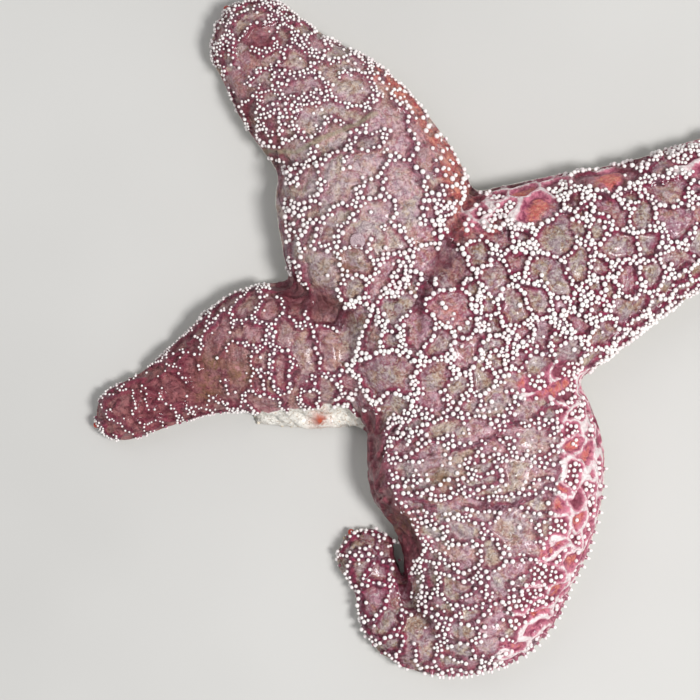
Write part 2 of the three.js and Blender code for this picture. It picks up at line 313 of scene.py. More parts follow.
def wander(points, size, reach, seed):
    """A smooth push in all directions, which makes ridge lines waver."""
    waves = np.random.default_rng(seed)
    push = np.zeros_like(points)
    for _ in range(10):
        run = waves.normal(size=3)
        run *= 2 * math.pi / (np.linalg.norm(run) * size * waves.uniform(0.7, 1.5))
        push += np.sin(points @ run + waves.uniform(0, 6.3))[:, None] * waves.normal(size=3)
    return push * reach / math.sqrt(10)


def ridges(points):
    """Distance in mm from the ridge between the two nearest cells and from their junction, the
    tint of the nearest cell, and how far into it each point is. Each ridge has its own
    strength: a weak one sinks away, and a strong one has a broad crest."""
    edge, junction, tint, inner = [], [], [], []
    half = np.array([h for _, _, h in cells])
    weak = cover(points)[:, 6]
    tints = np.random.default_rng(7).random(len(cells))
    points = points + wander(points, 9, 0.8, 3) + wander(points, 3.5, 0.35, 4)
    shares = max(1, len(points) // 8000)
    for part, faint in zip(np.array_split(points, shares), np.array_split(weak, shares)):
        distance = np.sqrt(measured(part, cells))
        three = np.argpartition(distance, 3, axis=1)[:, :3]
        d = np.take_along_axis(distance, three, 1)
        order = np.argsort(d, axis=1)
        d = np.take_along_axis(d, order, 1)
        three = np.take_along_axis(three, order, 1)
        h = half[three]
        pair = np.sort(three[:, :2], axis=1) @ (12.9898, 78.233)
        luck = np.abs(np.sin(pair) * 437.585) % 1
        crest = 0.8 * smoothstep(0.62, 1.0, luck) - 1.6 * (1 - smoothstep(faint - 0.12, faint + 0.08, luck))
        gap = (d[:, 1] - d[:, 0]) * h[:, 0] * h[:, 1] / (h[:, 0] + h[:, 1])
        edge.append(np.maximum(gap - crest, 0))
        pull = np.exp(-3 * d[:, :2] ** 2) + 1e-9
        tint.append((pull * tints[three[:, :2]]).sum(1) / pull.sum(1))
        inner.append(edge[-1] / h[:, 0])
        junction.append((d[:, 2] - d[:, 0]) * h[:, 0] * h[:, 2] / (h[:, 0] + h[:, 2]))
    return [np.concatenate(trait) for trait in (edge, junction, tint, inner)]


# Folds. Where arms meet and bend, the hide creases. Each fold is a line with a width, a
# depth, and how bare of spines it is; a negative depth is a smooth raised roll.
FOLDS = [
    (line_at((473, 190), (462, 215), (445, 250), (430, 275), (418, 300), (415, 330)), 2.0, 1.3, 0.8),
    (line_at((264, 151), (296, 156), (320, 143), (355, 130), (376, 118)), 1.6, -0.5, 1.0),
    (line_at((268, 163), (300, 168), (340, 150), (372, 140)), 1.8, 1.2, 0.3),
    (line_at((280, 285), (305, 300), (330, 310), (345, 322)), 3.6, 1.6, 1.0),
    ([(-24, -51), (-14, -53.5), (-3, -52), (8.5, -53.5), (16, -51), (24, -50)], 1.6, 0.7, 0.9),
    ([spot_at(412, 455), (-8, -36.5), spot_at(470, 440), (5, -31.5), (11.5, -26.5), (20, -24),
      (28, -19), spot_at(595, 388)], 1.5, 0.9, 0.7),
    (line_at((385, 505), (405, 530), (412, 548)), 3.0, 1.2, 1.0),
    (line_at((397, 548), (402, 575), (405, 600), (425, 622)), 1.8, 1.5, 0.8),
    ([(-35, -28), (-34.5, -40), (-33, -49.5), (-27, -59.5)], 4.6, 0.0, 1.0),
    ([spot_at(275, 170), (-63.5, 45), spot_at(283, 240), (-62, 24)], 2.6, 0.0, 0.8),
    (line_at((495, 188), (530, 183)) + [(24, 50.5)], 3.2, 0.0, 0.9),
]


def folded(points):
    """How deep the folds sink each point, and how bare they leave it."""
    sunk, bare = np.zeros(len(points)), np.zeros(len(points))
    for line, width, fall, bareness in FOLDS:
        reach = from_line(points, line) / width
        sunk += fall * np.exp(-(reach**2))
        bare = np.maximum(bare, bareness * (1 - smoothstep(0.7, 1.25, reach)))
    return sunk, bare


RIDGE_RISE, HOLLOW_FALL, PUFF_RISE = 0.5, 0.85, 1.0


def raised(points, normals):
    """The relief of the hide at each point: its height over the smooth flesh, and what made it."""
    edge, junction, tint, inner = ridges(points)
    sunk, bare = folded(points)
    side = smoothstep(-0.6, 0.1, normals[:, 2])
    size = cover(points)[:, 0] / 4
    ridge = RIDGE_RISE * np.exp(-((edge / 0.9) ** 2))
    hollow = HOLLOW_FALL * smoothstep(0.4, 1.7, edge)
    puff = PUFF_RISE * size * smoothstep(1.8, 5.0, edge)
    height = side * (ridge - hollow + puff * (1 - 0.5 * bare) - sunk)
    return height, edge, junction, tint, inner, bare, sunk


height, edge, _, tint, inner, _, sunk = raised(hide_points, flesh_normals)
skin_points = hide_points + flesh_normals * height[:, None]
skin_points[:, 2] = np.maximum(skin_points[:, 2], SOLE_LIFT)
skin.data.vertices.foreach_set("co", (skin_points * MM).ravel())
skin.data.update()

# Colours over the whole animal, which the skin and the roots of its spines share: rose
# flanks with a pale net that is partly painted wet reflection, rusty margins, maroon on the
# bare flanks and in creases that is partly painted shade, and the cream rim of the sole.
ROSE = ([(33, -19), (35, -28), (35.5, -42), (33, -58), (27.5, -74), (21, -88)], 10)
ROSE_PATCHES = [(*spot_at(685, 155), 8), (27, -12, 6), (17, -16, 5), (12, -101, 6), (0, 38.5, 6), (9, 44, 5),
                (15, 40, 5.5), (20, 46, 5), (27, 51, 5), (43, 51, 5), (86, 58, 9)]
RUST = (line_at((385, 75), (420, 105), (440, 140), (455, 180), (462, 205)), 5)
RUST_PATCHES = [(-50, -27, 3), (-4, 35, 4), (4, 36, 3), (*spot_at(447, 318), 4), (38, -56, 4)]
# Maroon along the inner flank of the south arm, down into the crease by its bent tip, and in patches on
# other flanks and in creases: partly the hide's own maroon, partly painted shade.
MAROON_AND_SHADE = ([(-35, -28), (-34.5, -40), (-33, -49.5), spot_at(392, 520), spot_at(405, 552)], 6)
MAROON_AND_SHADE_PATCHES = [(4, 43, 6), (12, 47, 6), (30, 51, 6), (45, 55, 6), (-9, 23, 5), (-76, 72, 7),
                  (-70, 96, 5), (-66, 60, 6), (-60, 15, 6), (-50, 10, 6), (-90, -12, 14), (-108, -24, 14)]
OCHRE_PATCHES = [(*spot_at(240, 375), 5), (*spot_at(213, 365), 4), (*spot_at(440, 475), 4),
                 (*spot_at(400, 520), 4), (*spot_at(350, 265), 5), (-87, -18, 4)]
CREAM = ([(-30, -24.5), (-40, -25.5), (-47, -26), (-56.5, -27), (-66.5, -28.5), (-76, -30)], 4.6)


def patched(points, patches, line=None):
    """1 in the middle of the patches and along their line, fading out at their reach."""
    amount = sum((near(points, (x, y), reach) for x, y, reach in patches), np.zeros(len(points)))
    if line:
        amount += 1 - smoothstep(0.5, 1.3, from_line(points, line[0]) / line[1])
    return np.clip(amount, 0, 1)


def markings(points, normals):
    sole = 1 - smoothstep(-0.75, -0.35, normals[:, 2])
    low = 1 - smoothstep(2.0, 6.5, points[:, 2])
    cream = np.maximum(sole, patched(points, [], CREAM) * (1 - smoothstep(10.0, 13.0, points[:, 2])))
    return {
        "rose": np.clip(patched(points, ROSE_PATCHES, ROSE) + 0.25 * low, 0, 1),
        "rust": patched(points, RUST_PATCHES, RUST) * (1 - sole),
        "maroon": patched(points, MAROON_AND_SHADE_PATCHES, MAROON_AND_SHADE),
        "ochre": patched(points, OCHRE_PATCHES),
        "cream": cream,
    }


def write(mesh, name, values):
    mesh.attributes.new(name, "FLOAT", "POINT").data.foreach_set("value", np.asarray(values, np.float32))


for name, values in markings(hide_points, flesh_normals).items():
    write(skin.data, name, values)
write(skin.data, "edge", np.clip(edge / 6, 0, 1))
write(skin.data, "inner", np.clip(inner, 0, 1))
write(skin.data, "dark", cover(hide_points)[:, 7])
write(skin.data, "brown", cover(hide_points)[:, 8])
write(skin.data, "tint", tint)
write(skin.data, "sunk", np.clip(0.5 + sunk / 4, 0, 1))
bpy.ops.object.select_all(action="DESELECT")
skin.select_set(True)
bpy.context.view_layer.objects.active = skin
flat = skin.vertex_groups.new(name="flat sole")
flat.add(np.flatnonzero(skin_points[:, 2] < SOLE_LIFT + 0.01).tolist(), 1, "REPLACE")
fewer = skin.modifiers.new("fewer faces on the flat sole", "DECIMATE")
fewer.vertex_group = flat.name
fewer.ratio = 0.76
bpy.ops.object.modifier_apply(modifier=fewer.name)
for polygon in skin.data.polygons:
    polygon.use_smooth = True


class Shade:
    """A shader socket that Python's own operators add Math nodes to."""

    def __init__(self, material, socket):
        self.material, self.socket = material, socket

    def math(self, operation, *values):
        return self.material.node("ShaderNodeMath", {"operation": operation}, values)

    def __add__(self, other):
        return self.math("ADD", self, other)

    def __sub__(self, other):
        return self.math("SUBTRACT", self, other)

    def __rsub__(self, other):
        return self.math("SUBTRACT", other, self)

    def __mul__(self, other):
        return self.math("MULTIPLY", self, other)

    def __pow__(self, other):
        return self.math("POWER", self, other)

    __radd__, __rmul__ = __add__, __mul__

    def step(self, low, high):
        settings = {"interpolation_type": "SMOOTHSTEP", "clamp": True}
        values = {"Value": self, "From Min": low, "From Max": high}
        return self.material.node("ShaderNodeMapRange", settings, values)


class Finish:
    """A material for one of the animal's surfaces, with its Principled shader ready to wire."""

    def __init__(self, name, **constants):
        self.material = bpy.data.materials.new(name)
        self.material.use_nodes = True
        self.tree = self.material.node_tree
        self.shader = self.tree.nodes["Principled BSDF"]
        for socket, value in constants.items():
            self.shader.inputs[socket.replace("_", " ").title().replace("Ior", "IOR")].default_value = value
        self.place = self.node("ShaderNodeTexCoord", output="Object")

    def put(self, socket, value):
        if isinstance(value, Shade):
            self.tree.links.new(value.socket, socket)
        elif isinstance(value, tuple) and len(value) == 3 and socket.type == "RGBA":
            socket.default_value = (*value, 1)
        else:
            socket.default_value = value

    def node(self, kind, settings=None, values=(), output=0):
        made = self.tree.nodes.new(kind)
        for name, value in (settings or {}).items():
            setattr(made, name, value)
        for key, value in values.items() if isinstance(values, dict) else enumerate(values):
            self.put(made.inputs[key], value)
        return Shade(self, made.outputs[output])

    def read(self, name):
        return self.node("ShaderNodeAttribute", {"attribute_name": name}, output="Fac")

    def mottle(self, size, detail=3.0, rough=0.55, warp=0.0):
        values = {
            "Vector": self.place, "Scale": 1 / size, "Detail": detail,
            "Roughness": rough, "Distortion": warp,
        }
        return self.node("ShaderNodeTexNoise", {}, values)

    def mix(self, amount, under, over, blend="MIX"):
        settings = {"data_type": "RGBA", "blend_type": blend}
        return self.node("ShaderNodeMix", settings, {0: amount, 6: under, 7: over}, output=2)

    def wire(self, **links):
        for name, value in links.items():
            self.put(self.shader.inputs[name.replace("_", " ")], value)


def colour(code):
    """A screen colour such as 0xAD7E84 as the linear light it stands for."""
    channels = [(code >> shift & 255) / 255 for shift in (16, 8, 0)]
    return tuple(c / 12.92 if c <= 0.04045 else ((c + 0.055) / 1.055) ** 2.4 for c in channels)


hide = Finish("hide", ior=1.4, coat_ior=1.36, coat_roughness=0.1)
broad = hide.mottle(14 * MM)
blotch = hide.mottle(3.2 * MM, detail=4, rough=0.6, warp=0.8)
patch = hide.mottle(2.2 * MM, detail=5, rough=0.62, warp=0.7)
fine = hide.mottle(1.0 * MM, detail=5, rough=0.65, warp=0.5)
grain = hide.mottle(0.4 * MM, detail=2)
marbling = hide.mottle(1.8 * MM, detail=3, rough=0.5, warp=1.0)
tan = hide.mottle(4.5 * MM, detail=4, rough=0.6, warp=1.0)
speck_values = {"Vector": hide.place, "Scale": 1 / (0.55 * MM)}
specks = 1 - hide.node("ShaderNodeTexVoronoi", {}, speck_values, "Distance").step(0.12, 0.34)
ridge_line = hide.read("edge") * 6 + (blotch - 0.5) * 2.0 + (fine - 0.5) * 0.9
kind = hide.read("tint") + (blotch - 0.5) * 0.8
inner = hide.read("inner") + (patch - 0.5) * 0.9
dark = hide.read("dark")

flesh = hide.mix(patch.step(0.36, 0.62), colour(0x9C5C68), colour(0xE2B4B8))
flesh = hide.mix((kind + (broad - 0.5)).step(0.55, 0.95) * 0.35, flesh, colour(0xD08494))
flesh = hide.mix((1 - tan).step(0.5, 0.6) * 0.45, flesh, colour(0xC6A8BE))
flesh = hide.mix(dark ** 2 * 0.36, flesh, colour(0x7A2444))
gills = hide.mix(patch.step(0.36, 0.62), colour(0x706248), colour(0xD4CEB2))
gills = hide.mix((1 - tan).step(0.46, 0.56) * 0.5, gills, colour(0xAE9EB0))
middle = inner.step(0.25, 0.75) * (1.15 - kind).step(0.25, 0.8)
puffs = hide.mix(middle * 0.8, flesh, gills)
puffs = hide.mix(tan.step(0.5, 0.62) * 0.45, puffs, colour(0xB4885C))
puffs = hide.mix(fine.step(0.5, 0.66) * 0.6, puffs, colour(0xE8DEDC))
puffs = hide.mix((1 - fine).step(0.53, 0.63) * 0.5, puffs, colour(0x70283C))
veins = marbling.step(0.48, 0.5) * (1 - marbling.step(0.5, 0.52))
puffs = hide.mix(veins * 0.35, puffs, colour(0x6A2C40))
puffs = hide.mix(specks * fine.step(0.45, 0.6) * 0.7, puffs, colour(0xF0E6DE))
clay = hide.mix(patch.step(0.36, 0.62), colour(0x80403E), colour(0xBC7C74))
puffs = hide.mix(hide.read("brown") * 0.8, puffs, clay)
puffs = hide.mix(dark ** 2 * 0.12, puffs, colour(0x6E2440))
# Rims in the hollows beside the ridges: partly the hide's dark maroon, partly painted shade.
rim_colour_and_shade = hide.mix(blotch.step(0.35, 0.65), colour(0x460620), colour(0x96244C))
# Ridge crests, lilac-grey mottled with dark maroon: the dark is partly the hide's colour, partly painted
# shade in the gaps between beads.
ridge_colour_and_shade = hide.mix(fine.step(0.4, 0.7), colour(0x561A32), colour(0xB8909E))
pale = hide.mix(patch, puffs, colour(0xE4CCD0))
puffs = hide.mix((1 - dark) * 0.5, puffs, pale)
# Painted shade and maroon in a band round every ridge, heavier where the cover's rims are dark.
top = hide.mix((1 - ridge_line.step(0.9, 2.0)) * (0.4 + dark * 0.55), puffs, rim_colour_and_shade)
# The ridge crests, with their painted shade between the beads.
top = hide.mix((1 - ridge_line.step(0.2, 0.8)) * 0.75, top, ridge_colour_and_shade)

# Painted shade and the hide's own maroon on the bare flanks and in the creases.
maroon = hide.read("maroon")
top = hide.mix(maroon * 0.75, top, hide.mix(patch.step(0.35, 0.7), colour(0x621E2C), colour(0xA4545C)))
ochre = hide.read("ochre") * blotch.step(0.35, 0.6)
top = hide.mix(ochre * 0.8, top, colour(0x84603C))
rust = hide.read("rust") * (broad * 0.4 + blotch * 0.6).step(0.38, 0.56)
top = hide.mix(rust * 0.85, top, hide.mix(patch.step(0.36, 0.66), colour(0xA8383E), colour(0xEA9A80)))
rose = hide.read("rose") + (blotch - 0.5) * 0.5
hollows = inner.step(0.25, 0.5) * (1 - kind.step(0.5, 0.7))
coral = inner.step(0.3, 0.7) * kind.step(0.7, 0.85)
blush = hide.mix(patch.step(0.36, 0.62), colour(0x903454), colour(0xDA8096))
blush = hide.mix(hollows * 0.8, blush, colour(0x741C38))
coral_colour = hide.mix(fine.step(0.4, 0.65), colour(0xD45E48), colour(0xF2A47A))
blush = hide.mix(coral * 0.7, blush, coral_colour)
# A pink band and a white net along the ridges of the rose flanks: partly the hide's pale net, partly painted
# wet reflection.
blush = hide.mix((1 - ridge_line.step(0.4, 1.3)) * 0.7, blush, colour(0xE694A6))
top = hide.mix(rose.step(0.3, 0.7) * 0.95, top, blush)
# The white net, partly painted wet reflection.
top = hide.mix(rose.step(0.2, 0.5) * (1 - ridge_line.step(0.0, 0.7)) * 0.95, top, colour(0xFFF2F0))
# Painted shade deep in the folds, and a paler tone along the raised rolls.
crease = hide.read("sunk")
top = hide.mix(crease.step(0.66, 0.86) * 0.5, top, colour(0x54282C))
top = hide.mix((1 - crease).step(0.56, 0.64) * 0.8, top, colour(0xA99E82))
cream = hide.read("cream") + (blotch - 0.5) * 0.9
lip = hide.mix(fine.step(0.5, 0.72), colour(0xFBF6EC), colour(0xBC9C78))
lip = hide.mix(rust, lip, colour(0xC8502F))
top = hide.mix(cream.step(0.35, 0.6), top, lip)
relief = patch * 1.0 + fine * 0.5 + grain * 0.2 + specks * 0.15 - veins * 0.3
bump = {"Strength": 0.9, "Distance": 0.8 * MM, "Height": relief}
wrinkles = hide.node("ShaderNodeBump", {}, bump, output="Normal")
hide.wire(
    Base_Color=top,
    Roughness=0.3 + fine * 0.3,
    Coat_Weight=0.3 + broad.step(0.4, 0.7) * 0.4,
    Normal=wrinkles,
)
skin.data.materials.append(hide.material)
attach(skin, "root")
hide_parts(*covered)

# Bead spines. Each is a short limy peg with a round white head, rooted in the hide's
# ridges: single file over the disc, crowded where ridges meet, few on the bare flanks.
bpy.ops.mesh.primitive_uv_sphere_add(segments=7, ring_count=6, radius=1)
bead = bpy.context.object
for vertex in bead.data.vertices:
    x, y, z = vertex.co
    neck = 1 - 0.42 * float(smoothstep(0.0, -0.9, z))
    vertex.co = (x * neck, y * neck, z * (1.35 if z < -0.2 else 0.92))


def template(piece):
    """Take a small shape off the bench: its points, its faces, and a flat layout of the
    faces' corners with its head in the middle, its sides round that, and its base in a corner."""
    mesh = piece.data
    points = read_points(mesh)
    faces = [list(polygon.vertices) for polygon in mesh.polygons]
    tall = (points[:, 2] - points[:, 2].mean()) / np.ptp(points[:, 2])
    wide = points[:, :2] / np.linalg.norm(points[:, :2], axis=1).max()
    from_head = np.arctan2(np.linalg.norm(wide, axis=1), 2 * tall) / math.pi
    heading = np.arctan2(wide[:, 1], wide[:, 0])
    layout = 0.42 * from_head[:, None] * np.column_stack([np.cos(heading), np.sin(heading)])
    corners = []
    for polygon, face in zip(mesh.polygons, faces):
        corners.append(0.45 + 0.04 * wide[face] if polygon.normal.z < -0.8 else layout[face])
    bpy.data.objects.remove(piece)
    return points, faces, np.concatenate(corners)


bead_shape = template(bead)

# The coat's colours are kept by place on an unwrap of the skin, cut round the edge of the sole.
bpy.ops.object.select_all(action="DESELECT")
pelt = bpy.data.objects.new("pelt", skin.data.copy())
bpy.context.collection.objects.link(pelt)
pelt.select_set(True)
bpy.context.view_layer.objects.active = pelt
thin = pelt.modifiers.new("thin out", "DECIMATE")
thin.ratio = 0.06
bpy.ops.object.modifier_apply(modifier=thin.name)
bpy.ops.object.mode_set(mode="EDIT")
bpy.ops.mesh.select_mode(type="FACE")
bpy.ops.mesh.select_all(action="DESELECT")
bpy.ops.object.mode_set(mode="OBJECT")
for polygon in pelt.data.polygons:
    polygon.select = polygon.normal.z < -0.5
bpy.ops.object.mode_set(mode="EDIT")
bpy.ops.mesh.region_to_loop()
bpy.ops.mesh.mark_seam(clear=False)
bpy.ops.mesh.select_all(action="SELECT")
bpy.ops.uv.unwrap(method="ANGLE_BASED", margin=0.01)
bpy.ops.object.mode_set(mode="OBJECT")
pelt.data.calc_loop_triangles()
pelt_uv = pelt.data.uv_layers.active.data
pelt_places = [[Vector((*pelt_uv[loop].uv, 0)) for loop in flat.loops] for flat in pelt.data.loop_triangles]
pelt_corners = [[pelt.data.vertices[v].co / MM for v in flat.vertices] for flat in pelt.data.loop_triangles]
pelt_tree = BVHTree.FromPolygons(
    [tuple(corner) for flat in pelt_corners for corner in flat],
    [(3 * i, 3 * i + 1, 3 * i + 2) for i in range(len(pelt_corners))],
)
bpy.data.objects.remove(pelt)


def pelt_place(roots):
    """Where each root lies on the skin's unwrap."""
    places = np.empty((len(roots), 2))
    for number, root in enumerate(roots):
        spot, _, flat, _ = pelt_tree.find_nearest(Vector(root))
        places[number] = barycentric_transform(spot, *pelt_corners[flat], *pelt_places[flat])[:2]
    return places


BEAD_TRIES = 190000
STRAY_SHARE, RUSTY_STRAYS = 0.003, 0.03
OUTER_BARE, MOUTH_BARE = 8, 9  # how far beads keep from both
UPPER_SIDE = 10
CROWD_BOX = 2.6
spots, facings = scatter(hide_points, flesh_normals, triangles, BEAD_TRIES)
upper = (facings[:, 2] > -0.55) & (spots[:, 2] > 1.6)
spots, facings = spots[upper], facings[upper]
height, edge, junction, tint, inner, bare, _ = raised(spots, facings)
radius, spread, apart = cover(spots)[:, 3:6].T
marks = markings(spots, facings)
flank = 1 - smoothstep(0.15, 0.6, facings[:, 2])
spread = spread * (1 - 0.4 * marks["rose"]) * (1 - 0.7 * marks["rust"]) * (1 - 0.85 * marks["maroon"])
spread *= 1 + 0.2 * flank
spread *= 1 + 0.8 * (1 - smoothstep(0.6, 2.2, junction))
rosy = marks["rose"] > 0.55
on_ridges = ~rosy & (edge < spread)
in_hollows = rosy & (inner > 0.42) & (tint < 0.5)
stray = chance.random(len(spots)) < STRAY_SHARE + RUSTY_STRAYS * marks["rust"]
covered_here = (bare < chance.uniform(0.25, 0.75, len(spots))) & (marks["cream"] < 0.4)
covered_here &= (from_line(spots, OUTER_SIDE[0]) > OUTER_BARE) | (facings[:, 2] > 0.4)
from_mouth = np.linalg.norm(spots[:, :2] - mouth_middle, axis=1)
covered_here &= (from_mouth > MOUTH_BARE) | (spots[:, 2] > UPPER_SIDE)
wanted = np.flatnonzero((on_ridges | in_hollows | stray) & covered_here)
wanted = wanted[np.argsort(edge[wanted] + chance.uniform(0, 0.35, len(wanted)))]
radius *= chance.uniform(0.68, 1.18, len(radius))

standing = {}
chosen = []
for index in wanted:
    spot, size = spots[index], radius[index] * apart[index]
    box = tuple((spot // CROWD_BOX).astype(int))
    crowd = [other for dx in (-1, 0, 1) for dy in (-1, 0, 1) for dz in (-1, 0, 1)
             for other in standing.get((box[0] + dx, box[1] + dy, box[2] + dz), ())]
    if all((spot[0] - x) ** 2 + (spot[1] - y) ** 2 + (spot[2] - z) ** 2 > (size + r) ** 2
           for x, y, z, r in crowd):
        standing.setdefault(box, []).append((*spot, size))
        chosen.append(index)
chosen = np.array(chosen)


def framed_on(normals):
    """Three axes for each spine: two across it and its own, leaning a little at random."""
    lean = normals + chance.normal(0, 0.12, normals.shape)
    up = lean / np.linalg.norm(lean, axis=1, keepdims=True)
    side = np.cross(up, np.where(np.abs(up[:, 2:]) > 0.9, (1.0, 0, 0), (0, 0, 1.0)))
    side /= np.linalg.norm(side, axis=1, keepdims=True)
    return side, np.cross(up, side), up


outline = BVHTree.FromPolygons(flesh_points.tolist(), triangles.tolist())


def room(roots, ways):
    """How far each spine may reach from its root before it leaves the animal's outline."""
    hits = [outline.ray_cast(Vector(root), Vector(way))[3] for root, way in zip(roots, ways)]
    return np.array([0.0 if hit is None else hit for hit in hits])


BAKE_PATCH = 0.003


def planted(name, shape, roots, normals, width, length, finish):
    """Joined copies of one small shape, each standing on its root."""
    points, faces, corners = shape
    side, across, up = framed_on(normals)
    standing = (
        roots[:, None]
        + side[:, None] * points[None, :, :1] * width[:, None, None]
        + across[:, None] * points[None, :, 1:2] * width[:, None, None]
        + up[:, None] * points[None, :, 2:] * length[:, None, None]
    )
    standing[:, :, 2] = np.maximum(standing[:, :, 2], 0.02)
    mesh = bpy.data.meshes.new(name)
    offsets = np.arange(len(roots)) * len(points)
    everything = [[corner + offset for corner in face] for offset in offsets.tolist() for face in faces]
    mesh.from_pydata((standing.reshape(-1, 3) * MM).tolist(), [], everything)
    places = pelt_place(roots)[:, None] + BAKE_PATCH * corners[None]
    mesh.uv_layers.new(name="OFBake").data.foreach_set("uv", places.ravel())
    mesh.shade_smooth()
    mesh.materials.append(finish.material)
    piece = bpy.data.objects.new(name, mesh)
    bpy.context.collection.objects.link(piece)
    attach(piece, "root")
    return piece


chalk = Finish("chalk", ior=1.5, coat_weight=0.25, coat_roughness=0.1)
foot = chalk.read("foot")
bloom = chalk.mottle(6 * MM)
head = chalk.mix(bloom.step(0.35, 0.7), colour(0xFDF8F4), colour(0xF5E9E8))
chalk.wire(
    Base_Color=chalk.mix(foot.step(0.35, 0.9), head, colour(0x9C586A)),
    Roughness=0.3 + bloom * 0.2,
)

BEAD_LIFT, BEAD_ROOM = 0.75, 0.95  # in bead radii
sides = {
    "disc": (-8, 8),
    "north_west": (-50, 75),
    "east": (60, 38),
    "south": (10, -65),
    "west": (-80, -10),
}
homes = np.array(list(sides.values()))
home = ((spots[chosen][:, None, :2] - homes) ** 2).sum(2).argmin(1)
roots = spots[chosen] + facings[chosen] * height[chosen][:, None]
for number, side_name in enumerate(sides):
    here = home == number
    size = radius[chosen][here]
    up = facings[chosen][here]
    lift = np.minimum(BEAD_LIFT * size, room(roots[here], up) - BEAD_ROOM * size)
    seat = roots[here] + up * lift[:, None]
    piece = planted("bead_spines_" + side_name, bead_shape, seat, up, size, size, chalk)
    write(piece.data, "foot", np.tile(smoothstep(0.1, -1.0, bead_shape[0][:, 2]), here.sum()))

# Marginal spines. Blunt pegs, thicker and longer than the beads, stand out from the flanks
# just over the sole, longest along the outer side of the south arm.


def turned(sides, profile):
    """A small spine turned from a ring that is drawn up step by step: (height, half-width)."""
    (foot, half), *rest = profile
    bpy.ops.mesh.primitive_circle_add(vertices=sides, radius=half, fill_type="NGON", location=(0, 0, foot))
    piece = bpy.context.object
    bpy.ops.object.mode_set(mode="EDIT")
    for height, next_half in rest:
        bpy.ops.mesh.extrude_region_move(TRANSFORM_OT_translate={"value": (0, 0, height - foot)})
        bpy.ops.transform.resize(value=(next_half / half, next_half / half, 1))
        foot, half = height, next_half
    bpy.ops.mesh.select_all(action="SELECT")
    bpy.ops.mesh.normals_make_consistent(inside=False)
    bpy.ops.object.mode_set(mode="OBJECT")
    bpy.ops.object.transform_apply()
    return template(piece)


def thinned(points, spacing):
    """The points that are left when no two may stand closer than the spacing."""
    kept, taken = [], {}
    for index, point in enumerate(points):
        home = tuple((point // spacing.max()).astype(int))
        crowd = [other for dx in (-1, 0, 1) for dy in (-1, 0, 1) for dz in (-1, 0, 1)
                 for other in taken.get((home[0] + dx, home[1] + dy, home[2] + dz), ())]
        if all(math.dist(point, other) > spacing[index] for other in crowd):
            taken.setdefault(home, []).append(point)
            kept.append(index)
    return np.array(kept)


peg_shape = turned(6, [(-0.3, 1.3), (0.1, 1.15), (0.5, 0.72), (0.82, 0.58), (0.95, 0.42), (1.0, 0.2)])
PEG_TRIES = 60000
PEG_LOW, PEG_TOP, OUTER_TOP = 1.7, 4.5, 10  # the heights between which pegs stand
PEG_SPACING = 2.2
spots, facings = scatter(hide_points, flesh_normals, triangles, PEG_TRIES)
low = (spots[:, 2] > PEG_LOW) & (spots[:, 2] < OUTER_TOP)
low &= (facings[:, 2] > -0.7) & (facings[:, 2] < 0.45)
spots, facings = spots[low], facings[low]
outer_side = 1 - smoothstep(0.6, 1.4, from_line(spots, OUTER_SIDE[0]) / OUTER_SIDE[1])
low = (markings(spots, facings)["cream"] < 0.3) & (chance.random(len(spots)) < 0.4 + outer_side)
low &= spots[:, 2] < PEG_TOP + 6.0 * outer_side
spots, facings, outer_side = spots[low], facings[low], outer_side[low]
kept = thinned(spots, PEG_SPACING + 0.5 * outer_side)
spots, facings, outer_side = spots[kept], facings[kept], outer_side[kept]
width = chance.uniform(0.42, 0.55, len(kept)) + 0.4 * outer_side
length = chance.uniform(0.8, 1.1, len(kept)) + 1.6 * outer_side
facings[:, 2] *= 1 - 0.7 * outer_side
facings /= np.linalg.norm(facings, axis=1, keepdims=True)
length = np.minimum(length, room(spots, facings))
pegs = planted("marginal_spines", peg_shape, spots, facings, width, length, chalk)
write(pegs.data, "foot", np.tile(smoothstep(0.9, 0.35, peg_shape[0][:, 2]), len(kept)))

# Furrows and tube feet. Under each arm an open furrow runs out from the mouth. Four rows of
# soft, pale feet hang in it and stand on their suckers, and slender spines guard its edges.
FURROWS = [
    [(-16.0, 0.8), (-27.5, 26.8), (-35.0, 48.8), (-43.5, 66.8), (-59.0, 81.8), (-70.0, 94.8)],
    [(-16.0, 0.8), (10.0, 12.8), (37.5, 25.3), (59.0, 34.8), (80.0, 45.3), (98.0, 54.3), (112.5, 61.8)],
    [(-16.0, 0.8), (-1.5, -23.7), (5.0, -44.7), (6.5, -64.2), (2.0, -84.7)],
    [(15.5, -72.2), (6.0, -88.7), (-11.0, -98.7), (-26.5, -92.7), (-32.0, -80.2), (-35.9, -72.2)],
    [(-16.0, 0.8), (-40.5, -1.7), (-56.5, -2.7), (-73.0, -5.2), (-91.0, -13.2), (-103.0, -19.7),
     (-114.5, -24.7)],
]
FOOT_ROWS = (-1.5, -0.5, 0.5, 1.5)
FOOT_STEP = 1.7
FURROW_SIDE = 3.3
MOUTH_REACH = 6.5
ORAL_RINGS, ORAL_SPINES = (5.9, 6.9), 40


def roof(places):
    """How high the hide's underside is over each place on the floor."""
    hits = [tree.ray_cast(Vector((x, y, -1)), Vector((0, 0, 1)))[0] for x, y in places]
    return np.array([hit.z if hit else 0 for hit in hits])


def followed(line, step):
    """Even steps along a rounded line, and the way across it at each."""
    corners = np.array(line)
    run = np.concatenate([[0], np.cumsum(np.linalg.norm(np.diff(corners, axis=0), axis=1))])
    steps = np.arange(0, run[-1], step)
    path = np.column_stack([np.interp(steps, run, corners[:, axis]) for axis in (0, 1)])
    window = int(12 / step) | 1
    padded = np.pad(path, ((window // 2,) * 2, (0, 0)), mode="edge")
    even = np.full(window, 1 / window)
    path = np.column_stack([np.convolve(padded[:, axis], even, "valid") for axis in (0, 1)])
    heading = np.gradient(path, axis=0)
    heading /= np.linalg.norm(heading, axis=1, keepdims=True)
    return path, np.column_stack([-heading[:, 1], heading[:, 0]])


